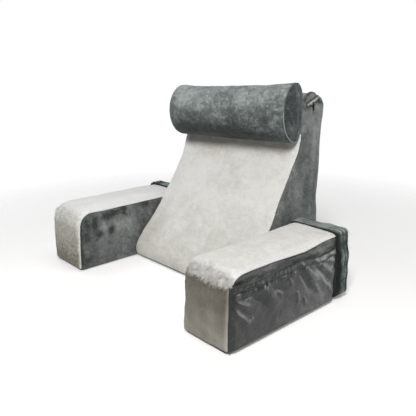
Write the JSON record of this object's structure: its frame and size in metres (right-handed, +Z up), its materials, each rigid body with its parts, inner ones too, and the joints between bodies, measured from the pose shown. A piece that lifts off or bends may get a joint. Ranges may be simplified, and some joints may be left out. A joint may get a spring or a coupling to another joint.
{
  "type": "backrest pillow",
  "caption": "Backrest pillow: a reclining wedge cushion with padded armrests, a neck roll, a side pocket and a zip, in grey velvet and white plush.",
  "frame": {"origin": "middle of the wedge's flat base, on its centre line and at the surface that it rests on", "axes": "+X across the pillow to the side with the pocket, +Y from the lean-on face to the back, +Z up"},
  "size_m": [0.7709, 0.517, 0.5263],
  "materials": {
    "grey_velvet": "crushed velvet pile with lighter and darker nap patches",
    "white_plush": "short fluffy plush pile",
    "pocket_cloth": "smooth dark cloth with a soft shine, in drag folds",
    "strap_cloth": "bunched dark cloth band with lengthwise creases",
    "zip_tape": "woven tape",
    "zip_metal": "pale satin metal",
    "pull_metal": "black enamel"
  },
  "bodies": {
    "root": {"wedge_cushion": "grey_velvet", "wedge_front_panel": "white_plush", "zip_tape": "zip_tape", "zip_chain": "zip_metal", "zip_slider": "zip_metal", "zip_pull": "pull_metal", "arm_right_cushion": "grey_velvet", "arm_right_plush_panel": "white_plush", "strap_right": "strap_cloth", "arm_right_pocket": "pocket_cloth", "arm_left_cushion": "grey_velvet", "arm_left_plush_panel": "white_plush", "strap_left": "strap_cloth", "roll_cushion": "grey_velvet", "roll_welt_left": "grey_velvet", "roll_welt_right": "grey_velvet"}
  },
  "joints": []
}
